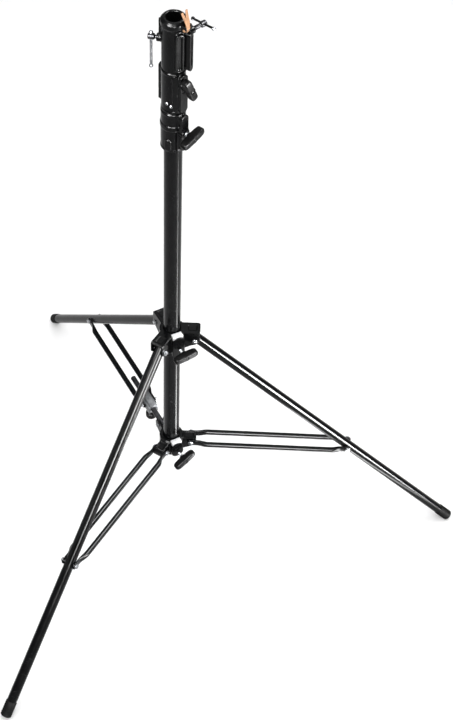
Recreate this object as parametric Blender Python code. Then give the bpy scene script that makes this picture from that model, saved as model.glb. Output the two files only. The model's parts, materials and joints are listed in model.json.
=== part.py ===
"""A three-section steel lighting stand with a braced tripod base and one leveling leg.

Metres, +Z up, floor at z = 0. The stand is placed so that its bounding box is centred on the origin
in X and Y. Leg 2 points along +X, leg 1 is 120 degrees clockwise of it and leg 3 (the leveling leg)
120 degrees anticlockwise. Pieces that belong to one leg are modelled in that leg's own frame:
x outward, y along the hinge, z up.
"""

import math

import bmesh
import bpy
from mathutils import Matrix, Vector

# Driving dimensions
FIT = 0.0003                      # clearance between pieces that touch
COLUMN_RADIUS = 0.0175
COLUMN_BORE = 0.01625
COLUMN_BOTTOM = 0.228
RISER_1_RADIUS = 0.015
RISER_1_BORE = 0.0135
RISER_1_BOTTOM = 0.300
RISER_2_RADIUS = 0.0125
RISER_2_BORE = 0.011
RISER_2_BOTTOM = 0.330

COLLAR_RADIUS = 0.0236
COLLAR_LOW = 1.1585
COLLAR_HIGH = 1.2500
RISER_COLLAR_RADIUS = 0.0228
RISER_COLLAR_HIGH = 1.3438
LIP = 0.009                       # thickness of the ring that closes a collar over its tube's end

HEAD_RADIUS = 0.0220
HEAD_LOW = RISER_COLLAR_HIGH + FIT
HEAD_HIGH = 1.4533
SOCKET_RADIUS = 0.0143            # takes a 28 mm spigot
SOCKET_FLOOR = 1.3915
SOCKET_WEB = 0.004

LEG_AZIMUTHS = [math.radians(-120), 0.0, math.radians(120)]
LEVELING = 3                      # number of the leg whose brace is adjustable
LEG_RADIUS = 0.011
LEG_BORE = 0.0098
LEG_PIVOT_REACH = 0.0481
LEG_PIVOT_HEIGHT = 0.6200
LEG_ANGLE = math.radians(44.69)   # from vertical, with the base spread
LEG_END = 0.8625                  # from the pivot to the end of the foot cap
LEG_TOP = 0.012                   # tube beyond the pivot
FOOT_RADIUS = 0.0122
FOOT_LENGTH = 0.036
FOOT_SOLE = 0.005

BRACE_JOINT = 0.4944              # along the leg, from its pivot
BRACE_PIVOT_REACH = 0.04375
BRACE_PIVOT_HEIGHT = 0.2705
BRACE_RADIUS = 0.006
BRACE_OFFSET = 0.0175             # tube axis to the leg's middle plane
BRACE_FLAT_HEIGHT = 0.008         # half height of the flattened ends
BRACE_FLAT_THICKNESS = 0.0045
BRACE_FLAT_FACE = LEG_RADIUS + 0.0005
BRACE_FLAT_LENGTH = 0.022
BRACE_TAPER = 0.024

UPPER_HUB_LOW = 0.5800
UPPER_HUB_HIGH = 0.6470
LOWER_HUB_LOW = 0.2380
LOWER_HUB_HIGH = 0.2850
HUB_RADIUS = 0.0265
EAR_HALF_GAP = LEG_RADIUS + FIT
EAR_THICKNESS = 0.0035
UPPER_EAR_REACH = 0.0590
LOWER_EAR_REACH = 0.0560

BOLT_RADIUS = 0.003
BOLT_HEAD_RADIUS = 0.0055
BOLT_HEAD = 0.0035

KNOB_AZIMUTH = math.radians(-55)
WING_LENGTH = 0.056
WING_HEIGHT = 0.016
WING_DEPTH = 0.018
KNOB_BORE_DEPTH = 0.010

ROD_RADIUS = 0.006
ROD_LENGTH = 0.150
CLAMP_CENTRE = 0.068
CLAMP_LENGTH = 0.046
CLAMP_HALF_HEIGHT = 0.0105
GRIP_AT = CLAMP_CENTRE - 0.012
GRIP_RADIUS = 0.0125
GRIP_LOW = -0.0355
GRIP_HIGH = -0.0140

SCREW_HEIGHT = 1.404
SCREW_RADIUS = 0.004
SCREW_HEAD_RADIUS = 0.0058
HEAD_SCREW_AZIMUTH = math.radians(42)
HEAD_SCREW_REACH = 0.0720
HEAD_BOSS_REACH = 0.0440
SIDE_SCREW_AZIMUTH = math.radians(172)
SIDE_SCREW_REACH = 0.0455
SIDE_BOSS_REACH = 0.0300
HEAD_BAR = (0.0327, 0.0021)       # half length and radius of each screw's sliding bar
SIDE_BAR = (0.0405, 0.0025)
BAR_BALL = 0.0038
BAR_NECK = 0.0058                 # from the bar's end to where its plain rod starts
BAR_INSET = 0.0055                # bar's hole to the end of its screw

CATCH_AZIMUTH = math.radians(-34)
CATCH_PIVOT_REACH = 0.0285
CATCH_PIVOT_HEIGHT = 1.4410

ROUND = 20
FINE = 24
BORES = 12


def hinge_direction(angle):
    """Unit vector in a leg's frame, at an angle from straight down towards outward."""
    return Vector((math.sin(angle), 0, -math.cos(angle)))


LEG_DIRECTION = hinge_direction(LEG_ANGLE)
LEG_PIVOT = Vector((LEG_PIVOT_REACH, 0, LEG_PIVOT_HEIGHT))
BRACE_PIVOT = Vector((BRACE_PIVOT_REACH, 0, BRACE_PIVOT_HEIGHT))
BRACE_SPAN = LEG_PIVOT + LEG_DIRECTION * BRACE_JOINT - BRACE_PIVOT
BRACE_LENGTH = BRACE_SPAN.length
BRACE_TILT = math.atan2(BRACE_SPAN.z, BRACE_SPAN.x)


def foot_extent(azimuth):
    """How far along world X the round end of a foot cap reaches, away from the column."""
    centre = (LEG_PIVOT_REACH + LEG_END * math.sin(LEG_ANGLE)) * math.cos(azimuth)
    along = math.sin(LEG_ANGLE) * math.cos(azimuth)
    return centre + math.copysign(FOOT_RADIUS * math.sqrt(1 - along * along), centre)


COLUMN_X = -(foot_extent(LEG_AZIMUTHS[1]) + foot_extent(LEG_AZIMUTHS[0])) / 2


# Materials


def material(name, colour, roughness, metallic):
    made = bpy.data.materials.new(name)
    made.use_nodes = True
    shader = made.node_tree.nodes["Principled BSDF"]
    shader.inputs["Base Color"].default_value = (*colour, 1)
    shader.inputs["Roughness"].default_value = roughness
    shader.inputs["Metallic"].default_value = metallic
    made.diffuse_color = (*colour, 1)
    return made


# Shapes


def mesh_of(bm, name="shape"):
    bmesh.ops.recalc_face_normals(bm, faces=bm.faces)
    mesh = bpy.data.meshes.new(name)
    bm.to_mesh(mesh)
    bm.free()
    return mesh


def turned(profile, segments=ROUND):
    """A mesh turned about Z from (radius, height) points.

    A profile that starts and ends on the axis gives a solid, whose flat ends are one face each, and
    any other one is closed into a ring.
    """
    points = list(profile)
    solid = points[0][0] == 0
    if solid and points[0][1] == points[1][1]:
        points.pop(0)
    if solid and points[-1][1] == points[-2][1]:
        points.pop()
    bm = bmesh.new()
    rings = []
    for radius, height in points:
        ring = []
        for step in range(segments if radius > 0 else 1):
            turn = math.tau * step / segments
            ring.append(bm.verts.new((radius * math.cos(turn), radius * math.sin(turn), height)))
        rings.append(ring)
    pairs = list(zip(rings, rings[1:]))
    if not solid:
        pairs.append((rings[-1], rings[0]))
    for low, high in pairs:
        for step in range(segments):
            following = (step + 1) % segments
            if len(low) == 1:
                corners = (low[0], high[step], high[following])
            elif len(high) == 1:
                corners = (low[step], high[0], low[following])
            else:
                corners = (low[step], high[step], high[following], low[following])
            bm.faces.new(corners)
    for end in (rings[0], rings[-1]):
        if solid and len(end) > 1:
            bm.faces.new(end)
    return mesh_of(bm)


def cylinder(radius, low, high, segments=ROUND):
    return turned([(0, low), (radius, low), (radius, high), (0, high)], segments)


def pipe(radius, bore, low, high, segments=ROUND):
    return turned([(radius, low), (radius, high), (bore, high), (bore, low)], segments)


def lofted(rings):
    """A closed mesh through rings with equally many points."""
    bm = bmesh.new()
    loops = [[bm.verts.new(point) for point in ring] for ring in rings]
    count = len(loops[0])
    for near, far in zip(loops, loops[1:]):
        for step in range(count):
            following = (step + 1) % count
            bm.faces.new((near[step], near[following], far[following], far[step]))
    bm.faces.new(loops[0])
    bm.faces.new(loops[-1])
    return mesh_of(bm)


def prism(outline, low, high):
    """An (x, y) outline extruded from z = low to z = high."""
    return lofted([[(x, y, z) for x, y in outline] for z in (low, high)])


def box(low, high):
    outline = [(low[0], low[1]), (high[0], low[1]), (high[0], high[1]), (low[0], high[1])]
    return prism(outline, low[2], high[2])


def stadium(half_length, half_width, steps=5):
    """Outline of a bar with round ends, long in x."""
    centre = half_length - half_width
    points = []
    for side, start in ((centre, -math.pi / 2), (-centre, math.pi / 2)):
        for step in range(steps + 1):
            turn = start + math.pi * step / steps
            points.append((side + half_width * math.cos(turn), half_width * math.sin(turn)))
    return points


def moved(mesh, x=0, y=0, z=0):
    mesh.transform(Matrix.Translation((x, y, z)))
    return mesh


def turned_about(mesh, axis, angle):
    mesh.transform(Matrix.Rotation(angle, 4, axis))
    return mesh


def along_y(mesh):
    """Stands a mesh made along Z on the Y axis."""
    return turned_about(mesh, "X", -math.pi / 2)


def along_x(mesh):
    return turned_about(mesh, "Y", math.pi / 2)


def along_leg(mesh):
    """Turns a mesh made along Z to run down the leg from its pivot, and keeps its Y."""
    return turned_about(mesh, "Y", math.pi - LEG_ANGLE)


def combined(base, tool, operation):
    """Boolean of two meshes in the same frame."""
    holders = [bpy.data.objects.new("holder", mesh) for mesh in (base, tool)]
    for holder in holders:
        bpy.context.scene.collection.objects.link(holder)
    step = holders[0].modifiers.new("step", "BOOLEAN")
    step.operation = operation
    step.solver = "EXACT"
    step.object = holders[1]
    graph = bpy.context.evaluated_depsgraph_get()
    result = bpy.data.meshes.new_from_object(holders[0].evaluated_get(graph))
    for holder in holders:
        bpy.data.objects.remove(holder)
    for mesh in (base, tool):
        bpy.data.meshes.remove(mesh)
    return result


def joined(base, *tools):
    for tool in tools:
        base = combined(base, tool, "UNION")
    return base


def cut(base, *tools):
    for tool in tools:
        base = combined(base, tool, "DIFFERENCE")
    return base


# Placing


def empty(name, place, azimuth=0.0, roll=0.0, parent=None):
    """A joint or frame marker. roll turns it about its own x before azimuth turns it about z."""
    marker = bpy.data.objects.new(name, None)
    marker.empty_display_size = 0.02
    marker.location = Matrix.Rotation(azimuth, 3, "Z") @ Vector(place)
    marker.rotation_euler = (roll, 0, azimuth)
    marker.parent = parent
    bpy.context.scene.collection.objects.link(marker)
    return marker


def place(name, mesh, finish, parent):
    """Names a mesh as one piece of the stand, in its parent's frame."""
    mesh.name = name
    mesh.materials.clear()
    mesh.materials.append(finish)
    for face in mesh.polygons:
        face.material_index = 0
    mesh.shade_smooth()
    mesh.set_sharp_from_angle(angle=math.radians(35))
    piece = bpy.data.objects.new(name, mesh)
    piece.parent = parent
    bpy.context.scene.collection.objects.link(piece)
    return piece


# Shared pieces


def bolt(low, high, radius=BOLT_RADIUS, head_radius=BOLT_HEAD_RADIUS, both=True):
    """A bolt along Y whose shank runs from low to high, with its head past high and a nut past low."""
    profile = [(0, low)]
    if both:
        profile = [(0, low - BOLT_HEAD), (head_radius, low - BOLT_HEAD), (head_radius, low)]
    profile += [(radius, low), (radius, high), (head_radius, high), (head_radius, high + BOLT_HEAD)]
    profile.append((0, high + BOLT_HEAD))
    return along_y(turned(profile, BORES))


def cross_hole(x, z, half_length, radius=BOLT_RADIUS + FIT):
    return moved(along_y(cylinder(radius, -half_length, half_length, BORES)), x=x, z=z)


def radial_hole(azimuth, z, reach, radius=BOLT_RADIUS + FIT):
    hole = moved(along_x(cylinder(radius, 0, reach, BORES)), z=z)
    return turned_about(hole, "Z", azimuth)


def rib(azimuth, reach, width, low, high):
    """A vertical rib with round ends that stands out of a casting's barrel."""
    outline = stadium((high - low) / 2, width / 2)
    body = along_x(prism(outline, 0, reach))
    return turned_about(moved(body, z=(low + high) / 2), "Z", azimuth)


def wing_knob(name, place_at, azimuth, roll, tip, parent):
    """A wing knob and its stud. The marker sits on the screw's axis, at the knob's inner face."""
    axis = empty(name + "_axis", place_at, azimuth, roll, parent)
    wing = along_x(prism(stadium(WING_LENGTH / 2, WING_HEIGHT / 2), 0, WING_DEPTH))
    wing = turned_about(wing, "X", math.pi / 2)
    bore = along_x(cylinder(BOLT_RADIUS + FIT, -0.002, KNOB_BORE_DEPTH, BORES))
    place(name, cut(wing, bore), plastic, axis)
    stud = along_x(cylinder(BOLT_RADIUS, tip - place_at[0], KNOB_BORE_DEPTH - FIT, BORES))
    place(name + "_stud", stud, steel, axis)


# Column and risers


def make_column(stand):
    tube = pipe(COLUMN_RADIUS, COLUMN_BORE, COLUMN_BOTTOM, COLLAR_HIGH - LIP - FIT, FINE)
    place("column_tube", tube, black_paint, stand)

    plug_radius = COLUMN_BORE - FIT
    flange = COLUMN_BOTTOM - FIT
    plug = turned([(0, flange - 0.0035), (0.0155, flange - 0.0035), (0.0172, flange - 0.0018),
                   (0.0172, flange), (plug_radius, flange), (plug_radius, flange + 0.020),
                   (plug_radius - 0.002, flange + 0.020), (plug_radius - 0.002, flange + 0.001),
                   (0, flange + 0.001)], FINE)
    place("column_plug", plug, plastic, stand)

    collar = make_collar(COLLAR_RADIUS, COLLAR_LOW, COLLAR_HIGH, COLUMN_RADIUS, RISER_1_RADIUS,
                         COLUMN_KNOB[1], COLUMN_KNOB[2])
    place("column_collar", collar, black_paint, stand)

    bush = pipe(COLUMN_BORE - FIT, RISER_1_RADIUS + FIT, COLLAR_HIGH - LIP - 0.045,
                COLLAR_HIGH - LIP - 0.001, FINE)
    place("column_bush", bush, plastic, stand)


def make_collar(radius, low, high, tube_radius, riser_radius, knob_azimuth, knob_height,
                more_ribs=()):
    """A clamp collar: it sits on a tube's end, guides the riser inside it and holds a clamp screw."""
    body = cylinder(radius, low, high, FINE)
    body = joined(body, rib(knob_azimuth, radius + 0.0078, 0.018, low + 0.004, high - 0.004),
                  *more_ribs)
    bore = turned([(0, low - 0.01), (tube_radius + FIT, low - 0.01), (tube_radius + FIT, high - LIP),
                   (riser_radius + FIT, high - LIP), (riser_radius + FIT, high + 0.01),
                   (0, high + 0.01)], FINE)
    return cut(body, bore, radial_hole(knob_azimuth, knob_height, radius + 0.02))


def guide_foot(bore, radius, bottom):
    """The bush on a riser's lower end, which slides in the next tube."""
    return turned([(bore - FIT, bottom + 0.020), (bore - FIT - 0.002, bottom + 0.020),
                   (bore - FIT - 0.002, bottom - 0.004), (radius, bottom - 0.004),
                   (radius, bottom - FIT), (bore - FIT, bottom - FIT)], FINE)


def make_risers(stand):
    first = empty("riser_1_slide", (0, 0, COLLAR_HIGH), parent=stand)
    shift = -COLLAR_HIGH
    tube = pipe(RISER_1_RADIUS, RISER_1_BORE, RISER_1_BOTTOM, RISER_COLLAR_HIGH - LIP - FIT, FINE)
    place("riser_1_tube", moved(tube, z=shift), black_paint, first)
    foot = guide_foot(RISER_1_BORE, COLUMN_BORE - FIT, RISER_1_BOTTOM)
    place("riser_1_foot", moved(foot, z=shift), plastic, first)
    back_rib = rib(math.radians(146), RISER_COLLAR_RADIUS + 0.0070, 0.012,
                   COLLAR_HIGH + 0.006, RISER_COLLAR_HIGH - 0.004)
    collar = make_collar(RISER_COLLAR_RADIUS, COLLAR_HIGH + FIT, RISER_COLLAR_HIGH, RISER_1_RADIUS,
                         RISER_2_RADIUS, RISER_KNOB[1], RISER_KNOB[2], [back_rib])
    place("riser_1_collar", moved(collar, z=shift), black_paint, first)
    bush = pipe(RISER_1_BORE - FIT, RISER_2_RADIUS + FIT, RISER_COLLAR_HIGH - LIP - 0.045,
                RISER_COLLAR_HIGH - LIP - 0.001, FINE)
    place("riser_1_bush", moved(bush, z=shift), plastic, first)

    second = empty("riser_2_slide", (0, 0, HEAD_LOW), parent=stand)
    shift = -HEAD_LOW
    tube = pipe(RISER_2_RADIUS, RISER_2_BORE, RISER_2_BOTTOM, SOCKET_FLOOR - SOCKET_WEB - FIT, FINE)
    place("riser_2_tube", moved(tube, z=shift), black_paint, second)
    foot = guide_foot(RISER_2_BORE, RISER_1_BORE - FIT, RISER_2_BOTTOM)
    place("riser_2_foot", moved(foot, z=shift), plastic, second)


# Head


def screw_boss(azimuth, reach):
    boss = moved(along_x(cylinder(0.0085, 0, reach, ROUND)), z=SCREW_HEIGHT)
    return turned_about(boss, "Z", azimuth)


def make_head(stand):
    frame = empty("head_frame", (0, 0, HEAD_LOW), parent=stand)
    body = turned([(0, HEAD_LOW), (HEAD_RADIUS, HEAD_LOW), (HEAD_RADIUS, HEAD_HIGH - 0.016),
                   (0.0238, HEAD_HIGH - 0.012), (0.0238, HEAD_HIGH - 0.005),
                   (0.0222, HEAD_HIGH), (0, HEAD_HIGH)], FINE)
    ribs = [rib(math.radians(-64), 0.0272, 0.016, HEAD_LOW + 0.004, HEAD_HIGH - 0.022),
            rib(math.radians(-27), 0.0358, 0.012, HEAD_LOW + 0.004, HEAD_HIGH - 0.022)]
    body = joined(body, *ribs)
    body = joined(body, screw_boss(HEAD_SCREW_AZIMUTH, HEAD_BOSS_REACH),
                  screw_boss(SIDE_SCREW_AZIMUTH, SIDE_BOSS_REACH))
    for side in (-1, 1):
        cheek = box((0.020, side * 0.0075 - 0.0015, CATCH_PIVOT_HEIGHT - 0.006),
                    (CATCH_PIVOT_REACH + 0.0035, side * 0.0075 + 0.0015, CATCH_PIVOT_HEIGHT + 0.006))
        body = joined(body, turned_about(cheek, "Z", CATCH_AZIMUTH))
    chamfer = 0.0012
    socket = turned([(0, SOCKET_FLOOR), (SOCKET_RADIUS, SOCKET_FLOOR),
                     (SOCKET_RADIUS, HEAD_HIGH - chamfer),
                     (SOCKET_RADIUS + 2 * chamfer, HEAD_HIGH + chamfer),
                     (0, HEAD_HIGH + chamfer)], FINE)
    lower = cylinder(RISER_2_RADIUS + FIT, HEAD_LOW - 0.01, SOCKET_FLOOR - SOCKET_WEB, FINE)
    body = cut(body, socket, lower)
    for azimuth in (HEAD_SCREW_AZIMUTH, SIDE_SCREW_AZIMUTH):
        body = cut(body, radial_hole(azimuth, SCREW_HEIGHT, 0.05, SCREW_RADIUS + FIT))
    pin_hole = cross_hole(CATCH_PIVOT_REACH, CATCH_PIVOT_HEIGHT, 0.02, 0.0015 + FIT)
    body = cut(body, turned_about(pin_hole, "Z", CATCH_AZIMUTH))
    place("head_casting", moved(body, z=-HEAD_LOW), black_paint, frame)

    make_clamp_screw("head", HEAD_SCREW_AZIMUTH, HEAD_SCREW_REACH, math.radians(-103),
                     HEAD_BAR, 0, stand)
    hung = SIDE_BAR[0] - BAR_NECK - SCREW_HEAD_RADIUS - FIT
    make_clamp_screw("side", SIDE_SCREW_AZIMUTH, SIDE_SCREW_REACH, 0, SIDE_BAR, -hung, stand)
    make_catch(stand)


def make_clamp_screw(name, azimuth, reach, roll, bar, bar_shift, stand):
    """A clamp screw of the socket, with the sliding bar that turns it."""
    half, bar_radius = bar
    tip = SOCKET_RADIUS + 0.0006
    bar_at = reach - BAR_INSET
    axis = empty(name + "_screw_axis", (bar_at, 0, SCREW_HEIGHT), azimuth, roll, stand)
    head_start = reach - 2.4 * BAR_INSET
    screw = turned([(0, tip), (SCREW_RADIUS - 0.001, tip), (SCREW_RADIUS, tip + 0.001),
                    (SCREW_RADIUS, head_start), (SCREW_HEAD_RADIUS, head_start + 0.002),
                    (SCREW_HEAD_RADIUS, reach - 0.001), (SCREW_HEAD_RADIUS - 0.001, reach),
                    (0, reach)], BORES)
    screw = moved(along_x(screw), x=-bar_at)
    screw = cut(screw, cylinder(bar_radius + FIT, -0.02, 0.02, BORES))
    place(name + "_screw", screw, steel, axis)

    profile = [(0, -half), (0.6 * BAR_BALL, -half + 0.1 * BAR_BALL),
               (BAR_BALL, -half + 0.5 * BAR_NECK), (0.7 * BAR_BALL, -half + 0.85 * BAR_NECK),
               (bar_radius, -half + BAR_NECK)]
    profile += [(radius, -height) for radius, height in reversed(profile)]
    place(name + "_tommy_bar", moved(turned(profile, BORES), z=bar_shift), steel, axis)


def make_catch(stand):
    """The sprung safety catch: a forked lever on a pin between two cheeks of the head."""
    axis = empty("catch_axis", (CATCH_PIVOT_REACH, 0, CATCH_PIVOT_HEIGHT), CATCH_AZIMUTH,
                 parent=stand)
    place("catch_pin", along_y(cylinder(0.0015, -0.0100, 0.0100, BORES)), steel, axis)
    middle = [(-0.0015, -0.0075), (0.0020, -0.0070), (0.0026, 0.0040), (0.0010, 0.0150),
              (-0.0060, 0.0330), (-0.0082, 0.0322), (-0.0036, 0.0150), (-0.0024, 0.0040)]
    half_widths = {-0.0075: 0.0030, -0.0070: 0.0030, 0.0040: 0.0048, 0.0150: 0.0056,
                   0.0330: 0.0085, 0.0322: 0.0085}
    rings = [[(x, side * half_widths[z], z) for x, z in middle] for side in (-1, 1)]
    lever = lofted(rings)
    notch = prism([(0.020, 0), (0.036, -0.0052), (0.036, 0.0052)], -0.02, 0.02)
    notch = turned_about(notch, "Y", -math.pi / 2)
    lever = cut(lever, notch, cross_hole(0, 0, 0.02, 0.0015 + FIT))
    place("safety_catch", lever, copper, axis)


# Base


def make_upper_hub(stand):
    slide = empty("base_slide", (0, 0, UPPER_HUB_HIGH), parent=stand)
    body = cylinder(HUB_RADIUS, UPPER_HUB_LOW, UPPER_HUB_HIGH, FINE)
    outer = EAR_HALF_GAP + EAR_THICKNESS
    ear_low = LEG_PIVOT_HEIGHT - 0.010
    for azimuth in LEG_AZIMUTHS:
        ear = prism([(0.015, ear_low - 0.018), (0.040, ear_low - 0.004), (0.050, ear_low),
                     (UPPER_EAR_REACH, ear_low + 0.010), (UPPER_EAR_REACH, UPPER_HUB_HIGH - 0.003),
                     (UPPER_EAR_REACH - 0.003, UPPER_HUB_HIGH), (0.015, UPPER_HUB_HIGH)],
                    -outer, outer)
        ear = turned_about(ear, "X", math.pi / 2)
        body = joined(body, turned_about(ear, "Z", azimuth))
    body = joined(body, rib(KNOB_AZIMUTH, HUB_RADIUS + 0.0055, 0.020,
                            UPPER_HUB_LOW + 0.004, UPPER_HUB_HIGH - 0.004))
    for azimuth in LEG_AZIMUTHS:
        slot = box((0.0290, -EAR_HALF_GAP, UPPER_HUB_LOW - 0.02),
                   (0.08, EAR_HALF_GAP, UPPER_HUB_HIGH - 0.0045))
        body = cut(body, turned_about(slot, "Z", azimuth))
        hole = cross_hole(LEG_PIVOT_REACH, LEG_PIVOT_HEIGHT, 0.04)
        body = cut(body, turned_about(hole, "Z", azimuth))
    bore = cylinder(COLUMN_RADIUS + FIT, UPPER_HUB_LOW - 0.01, UPPER_HUB_HIGH + 0.01, FINE)
    body = cut(body, bore, radial_hole(KNOB_AZIMUTH, UPPER_KNOB[2], 0.05))
    place("upper_hub", moved(body, z=-UPPER_HUB_HIGH), black_paint, slide)


def make_lower_hub(stand):
    body = cylinder(HUB_RADIUS, LOWER_HUB_LOW, LOWER_HUB_HIGH, FINE)
    for azimuth in LEG_AZIMUTHS:
        ear = prism([(0.015, LOWER_HUB_LOW + 0.002), (0.044, LOWER_HUB_LOW + 0.016),
                     (LOWER_EAR_REACH - 0.006, LOWER_HUB_LOW + 0.020),
                     (LOWER_EAR_REACH, LOWER_HUB_LOW + 0.026),
                     (LOWER_EAR_REACH, LOWER_HUB_HIGH - 0.010),
                     (LOWER_EAR_REACH - 0.006, LOWER_HUB_HIGH - 0.003),
                     (0.015, LOWER_HUB_HIGH - 0.003)], -EAR_HALF_GAP, EAR_HALF_GAP)
        ear = turned_about(ear, "X", math.pi / 2)
        body = joined(body, turned_about(ear, "Z", azimuth))
    body = joined(body, rib(KNOB_AZIMUTH, HUB_RADIUS + 0.0055, 0.020,
                            LOWER_HUB_LOW + 0.002, LOWER_HUB_HIGH - 0.004))
    for azimuth in LEG_AZIMUTHS:
        hole = cross_hole(BRACE_PIVOT_REACH, BRACE_PIVOT_HEIGHT, 0.04)
        body = cut(body, turned_about(hole, "Z", azimuth))
    slot = box((0.0330, -ROD_RADIUS - FIT, LOWER_HUB_LOW - 0.02),
               (0.08, ROD_RADIUS + FIT, LOWER_HUB_HIGH + 0.02))
    body = cut(body, turned_about(slot, "Z", LEG_AZIMUTHS[LEVELING - 1]))
    bore = cylinder(COLUMN_RADIUS + FIT, LOWER_HUB_LOW - 0.01, LOWER_HUB_HIGH + 0.01, FINE)
    body = cut(body, bore, radial_hole(KNOB_AZIMUTH, LOWER_KNOB[2], 0.05))
    place("lower_hub", body, black_paint, stand)


def make_leg(number, azimuth, stand):
    """One leg with its foot cap, its pivot bolt and the sleeve that its braces' bolt runs in."""
    hinge = empty(f"leg_{number}_hinge", LEG_PIVOT, azimuth, parent=stand)
    outer = EAR_HALF_GAP + EAR_THICKNESS + FIT
    place(f"leg_{number}_pin", bolt(-outer, outer), steel, hinge)

    tube = cut(cylinder(LEG_RADIUS, -LEG_TOP, LEG_END - FOOT_SOLE - FIT, ROUND),
               cylinder(LEG_BORE, -LEG_TOP + 0.002, LEG_END, ROUND))
    tube = cut(tube, cross_hole(0, 0, 0.02), cross_hole(0, BRACE_JOINT, 0.02, 0.0040 + FIT))
    place(f"leg_{number}", along_leg(tube), black_paint, hinge)

    sleeve = along_y(pipe(0.0040, 0.0031, -LEG_RADIUS + 0.0002, LEG_RADIUS - 0.0002, BORES))
    sleeve.transform(Matrix.Translation(LEG_DIRECTION * BRACE_JOINT))
    place(f"leg_{number}_sleeve", sleeve, steel, hinge)

    bm = bmesh.new()
    bm.from_mesh(along_leg(foot_cup(LEG_END - FOOT_LENGTH)))
    floor = Vector((0, 0, -LEG_PIVOT_HEIGHT))
    bmesh.ops.bisect_plane(bm, geom=bm.verts[:] + bm.edges[:] + bm.faces[:], plane_co=floor,
                           plane_no=(0, 0, -1), clear_outer=True)
    bmesh.ops.holes_fill(bm, edges=[edge for edge in bm.edges if edge.is_boundary])
    place(f"foot_{number}", mesh_of(bm), rubber, hinge)


def foot_cup(start):
    """The foot cap along Z before its sole is cut flat: a cup whose open end takes the tube."""
    inner = LEG_RADIUS + FIT
    return turned([(0, LEG_END), (FOOT_RADIUS, LEG_END), (FOOT_RADIUS, start + 0.002),
                   (FOOT_RADIUS - 0.0003, start), (inner, start), (inner, LEG_END - FOOT_SOLE),
                   (0, LEG_END - FOOT_SOLE)], ROUND)


def brace_ring(x, from_end, side):
    """Cross-section of a brace at x: a round tube that flattens onto the leg near both ends."""
    blend = min(max((from_end - BRACE_FLAT_LENGTH) / BRACE_TAPER, 0), 1)
    blend = blend * blend * (3 - 2 * blend)
    half_height = BRACE_FLAT_HEIGHT + (BRACE_RADIUS - BRACE_FLAT_HEIGHT) * blend
    if from_end < BRACE_FLAT_HEIGHT:
        inset = BRACE_FLAT_HEIGHT - from_end
        half_height = math.sqrt(BRACE_FLAT_HEIGHT ** 2 - inset ** 2)
    flat_half = BRACE_FLAT_THICKNESS / 2
    half_width = flat_half + (BRACE_RADIUS - flat_half) * blend
    flat_centre = BRACE_FLAT_FACE + flat_half
    centre = flat_centre + (BRACE_OFFSET - flat_centre) * blend
    power = 2 / (5 - 3 * blend)
    ring = []
    for step in range(BORES):
        turn = math.tau * step / BORES
        across = math.copysign(abs(math.cos(turn)) ** power, math.cos(turn))
        upward = math.copysign(abs(math.sin(turn)) ** power, math.sin(turn))
        ring.append((x, side * (centre + half_width * across), half_height * upward))
    return ring


def brace_mesh(start, side):
    """One brace along x, from its inner bolt at start to its outer bolt at BRACE_LENGTH."""
    low = start - BRACE_FLAT_HEIGHT
    high = BRACE_LENGTH + BRACE_FLAT_HEIGHT
    ends = [0.0006, 0.0028, BRACE_FLAT_HEIGHT, BRACE_FLAT_LENGTH]
    ends += [BRACE_FLAT_LENGTH + BRACE_TAPER * part for part in (0.33, 0.67, 1)]
    rings = [brace_ring(low + step, step, side) for step in ends]
    rings += [brace_ring(high - step, step, side) for step in reversed(ends)]
    body = lofted(rings)
    body = cut(body, cross_hole(start, 0, 0.04), cross_hole(BRACE_LENGTH, 0, 0.04))
    return turned_about(body, "Y", -BRACE_TILT)


def make_braces(number, azimuth, stand):
    """A pair of braces and the bolts that hold their outer ends to the leg."""
    hinge = empty(f"brace_{number}_hinge", BRACE_PIVOT, azimuth, parent=stand)
    start = CLAMP_CENTRE if number == LEVELING else 0.0
    outside = BRACE_FLAT_FACE + BRACE_FLAT_THICKNESS + FIT
    for side, word in ((1, "left"), (-1, "right")):
        place(f"brace_{number}_{word}", brace_mesh(start, side), black_paint, hinge)
        outer = bolt(BRACE_FLAT_FACE, outside, both=False)
        if side < 0:
            outer = turned_about(outer, "Z", math.pi)
        outer.transform(Matrix.Translation(BRACE_SPAN))
        place(f"brace_{number}_bolt_{word}", outer, steel, hinge)
    if number == LEVELING:
        make_leveling(hinge, outside)
    else:
        place(f"brace_{number}_pin", bolt(-outside, outside), steel, hinge)


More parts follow.
